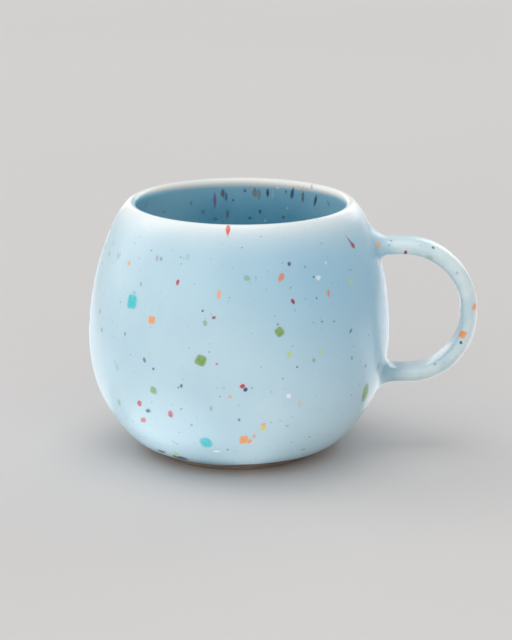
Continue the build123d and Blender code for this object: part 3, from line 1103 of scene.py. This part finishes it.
    n.set(bsdf.inputs["Base Color"], base)
    rough = n.ramp(n.noise(p, 0.5, 3, 0.6), 0.3, 0.7, 0.30, 0.40)
    n.set(bsdf.inputs["Roughness"], n.math("ADD", rough, n.math("MULTIPLY", speck_total, 0.15)))
    bsdf.inputs["IOR"].default_value = 1.52
    bsdf.inputs["Specular IOR Level"].default_value = 0.5
    bsdf.inputs["Coat Weight"].default_value = 0.30
    bsdf.inputs["Coat Roughness"].default_value = 0.12
    bsdf.inputs["Coat IOR"].default_value = 1.5

    height = n.math("ADD", n.math("MULTIPLY", n.noise(p, 0.16, 2, 0.5), 0.10), n.math("MULTIPLY", n.noise(p, 1.1, 2, 0.5), 0.012))
    height = n.math("SUBTRACT", height, n.math("MULTIPLY", speck_total, 0.02))
    bump = n.node("ShaderNodeBump")
    bump.inputs["Strength"].default_value = 0.35
    bump.inputs["Distance"].default_value = 0.001
    n.set(bump.inputs["Height"], height)
    n.set(bsdf.inputs["Normal"], bump.outputs["Normal"])
    return m


def clay_material(name, light, dark, stain):
    m, t, bsdf = new_material(name)
    n = Net(t)
    mm = n.node("ShaderNodeVectorMath", operation="SCALE")
    n.set(mm.inputs[0], n.node("ShaderNodeTexCoord").outputs["Object"])
    mm.inputs["Scale"].default_value = 1000.0
    p = mm.outputs["Vector"]
    turn = n.node("ShaderNodeMapping")  # turning marks run round, so they vary quickly with height only
    n.set(turn.inputs["Vector"], p)
    turn.inputs["Scale"].default_value = (0.06, 0.06, 1.0)
    lines = n.noise(turn.outputs["Vector"], 2.4, 4, 0.65)
    grain = n.noise(p, 3.2, 4, 0.7)
    patch = n.noise(p, 0.12, 3, 0.5)
    c = n.mix(n.ramp(lines, 0.32, 0.68), dark, light)
    c = n.mix(n.ramp(grain, 0.56, 0.74, 0.0, 0.55), c, stain)
    c = n.mix(n.ramp(patch, 0.35, 0.7, 0.0, 0.3), c, dark)
    v = n.node("ShaderNodeTexVoronoi", feature="F1")
    n.set(v.inputs["Vector"], p)
    v.inputs["Scale"].default_value = 0.9
    c = n.mix(n.ramp(v.outputs["Distance"], 0.10, 0.2, 0.7, 0.0), c, stain)
    n.set(bsdf.inputs["Base Color"], c)
    n.set(bsdf.inputs["Roughness"], n.ramp(grain, 0.2, 0.8, 0.72, 0.92))
    bsdf.inputs["Specular IOR Level"].default_value = 0.3
    bump = n.node("ShaderNodeBump")
    bump.inputs["Strength"].default_value = 0.6
    bump.inputs["Distance"].default_value = 0.0002
    n.set(bump.inputs["Height"], n.math("ADD", lines, n.math("MULTIPLY", grain, 0.6)))
    n.set(bsdf.inputs["Normal"], bump.outputs["Normal"])
    return m


def dress(obj, material):
    obj.data.materials.clear()
    obj.data.materials.append(material)


glaze = glaze_material("speckled_blue_glaze")
fleck_glaze = glaze_material("speckled_blue_glaze_with_flecks", True)
# painted light and shade: one clay in two tones, lighter for the wall's bare band above the ring and darker for the
# standing ring underneath
body_clay = clay_material("fired_stoneware", rgb(0.46, 0.39, 0.31), rgb(0.33, 0.27, 0.21), rgb(0.10, 0.07, 0.05))
shaded_ring_clay = clay_material("bare_foot_clay_shaded", rgb(0.30, 0.24, 0.19), rgb(0.17, 0.13, 0.10), rgb(0.07, 0.05, 0.04))
for o in (glaze_outer, glaze_liner, handle_skin):
    dress(o, glaze)
for o in (flecks_outer, flecks_inner, flecks_handle):
    dress(o, fleck_glaze)
for o in (stoneware_body, handle_clay, bpy.data.objects["slip_collar_upper"], bpy.data.objects["slip_collar_lower"]):
    dress(o, body_clay)
dress(standing_ring, shaded_ring_clay)

# ------------------------------------------------------------------ stage, light, camera
def flat_sheet(name, size, z):
    mesh = bpy.data.meshes.new(name)
    mesh.from_pydata([(-size, -size, z), (size, -size, z), (size, size, z), (-size, size, z)], [], [(0, 1, 2, 3)])
    o = bpy.data.objects.new(name, mesh)
    COLLECTION.objects.link(o)
    return o


floor = flat_sheet("studio_floor", 12.0, -0.00002)
m, t, bsdf = new_material("pale_studio_floor")
n = Net(t)
tone = n.noise(n.node("ShaderNodeTexCoord").outputs["Object"], 1.2, 2, 0.5)
n.set(bsdf.inputs["Base Color"], n.mix(n.ramp(tone, 0.3, 0.7), rgb(0.600, 0.585, 0.580), rgb(0.625, 0.610, 0.604)))
bsdf.inputs["Roughness"].default_value = 0.95
bsdf.inputs["Specular IOR Level"].default_value = 0.1
dress(floor, m)


def softbox(name, azimuth, elevation, size, power, colour=(1.0, 1.0, 1.0), far=3.0, lift=0.04):
    """A soft panel that faces the mug. Azimuth runs from the front towards the handle."""
    light = bpy.data.lights.new(name, "AREA")
    light.shape = "DISK" if len(size) == 1 else "RECTANGLE"
    light.size = size[0]
    if len(size) == 2:
        light.size_y = size[1]
    light.energy = power
    light.color = colour
    o = bpy.data.objects.new(name, light)
    COLLECTION.objects.link(o)
    az, el = math.radians(azimuth), math.radians(elevation)
    at = Vector((far * math.cos(el) * math.sin(az), -far * math.cos(el) * math.cos(az), lift + far * math.sin(el)))
    o.location = at
    o.rotation_euler = (Vector((0, 0, 0.04)) - at).to_track_quat("-Z", "Y").to_euler()
    o.visible_camera = False
    return o


def bounce_card(name, x, y, size, power):
    """A small card on the table that throws light up under the belly."""
    light = bpy.data.lights.new(name, "AREA")
    light.shape = "SQUARE"
    light.size = size
    light.energy = power
    o = bpy.data.objects.new(name, light)
    COLLECTION.objects.link(o)
    o.location = (x, y, 0.001)
    o.rotation_euler = (math.pi, 0.0, math.pi / 4)
    o.visible_camera = False
    return o


softbox("top_softbox", 0, 90, (2.0,), 18.9)
softbox("left_softbox", -110, 45, (2.0,), 10.9)
softbox("front_left_softbox", -35, 30, (2.0,), 6.5)
softbox("front_right_softbox", 20, 35, (2.0,), 5.5)
softbox("left_low_softbox", -110, 12, (2.0,), 8.7).location.z = 1.05  # its foot clears the table
softbox("back_right_softbox", 150, 25, (2.0,), 11.0)
softbox("back_left_softbox", -150, 25, (2.0,), 2.6)
for fill in (
    softbox("low_left_fill", -50, 8, (0.8,), 7.1, (1.0, 0.95, 0.91)),
    softbox("low_front_fill", -15, 8, (0.8,), 10.3),
    softbox("low_side_fill", -85, 8, (0.8,), 3.7, (1.0, 0.95, 0.91)),
):
    fill.visible_glossy = False  # a broad bounce off the table, with no shape of its own in the glaze
softbox("low_right_fill", 40, 8, (0.8,), 4.1).visible_glossy = False
softbox("right_edge_panel", 155, 12, (0.62, 1.5), 2.4, far=1.6).visible_diffuse = False
softbox("left_edge_panel", -166, 12, (0.30, 1.5), 2.4, far=1.6).visible_diffuse = False
bounce_card("left_bounce_card", -0.045, -0.045, 0.05, 0.0050)
bounce_card("front_bounce_card", 0.004, -0.062, 0.05, 0.0023)


def table_panel(name, x, y, wide, deep, power):
    """A pale panel lying behind the mug. The glaze's edge mirrors it as the thin bright line down each side."""
    light = bpy.data.lights.new(name, "AREA")
    light.shape = "RECTANGLE"
    light.size, light.size_y = wide, deep
    light.energy = power
    o = bpy.data.objects.new(name, light)
    COLLECTION.objects.link(o)
    o.location = (x, y, 0.0008)
    o.rotation_euler = (math.pi, 0.0, 0.0)
    o.visible_camera = False
    o.visible_diffuse = False
    return o


table_panel("right_table_panel", 0.165, 0.31, 0.23, 0.60, 0.40)
table_panel("left_table_panel", -0.115, 0.31, 0.13, 0.60, 0.15)

world = bpy.data.worlds.new("studio")
world.use_nodes = True
bg = world.node_tree.nodes["Background"]
bg.inputs["Color"].default_value = (1.0, 1.0, 1.0, 1.0)
bg.inputs["Strength"].default_value = 0.60
bpy.context.scene.world = world

scene = bpy.context.scene
scene.view_settings.view_transform = "Standard"
scene.view_settings.look = "None"
scene.view_settings.exposure = 0.0
scene.view_settings.gamma = 1.0

cam_data = bpy.data.cameras.new("photo_camera")
cam = bpy.data.objects.new("photo_camera", cam_data)
COLLECTION.objects.link(cam)
FOCAL_PX, EL, DIST, MID_Z = 2370.8, math.radians(15.097), 0.750, 0.042
cam_data.sensor_fit = "AUTO"
cam_data.sensor_width = 36.0
cam_data.lens = 36.0 * FOCAL_PX / 640.0
cam_data.shift_x = (256.0 - 239.2) / 640.0
cam_data.shift_y = (317.66 - 320.0) / 640.0
cam_data.clip_start, cam_data.clip_end = 0.01, 60.0
cam.location = (0.0, -DIST * math.cos(EL), MID_Z + DIST * math.sin(EL))
cam.rotation_euler = (math.pi / 2 - EL, 0.0, 0.0)
scene.camera = cam
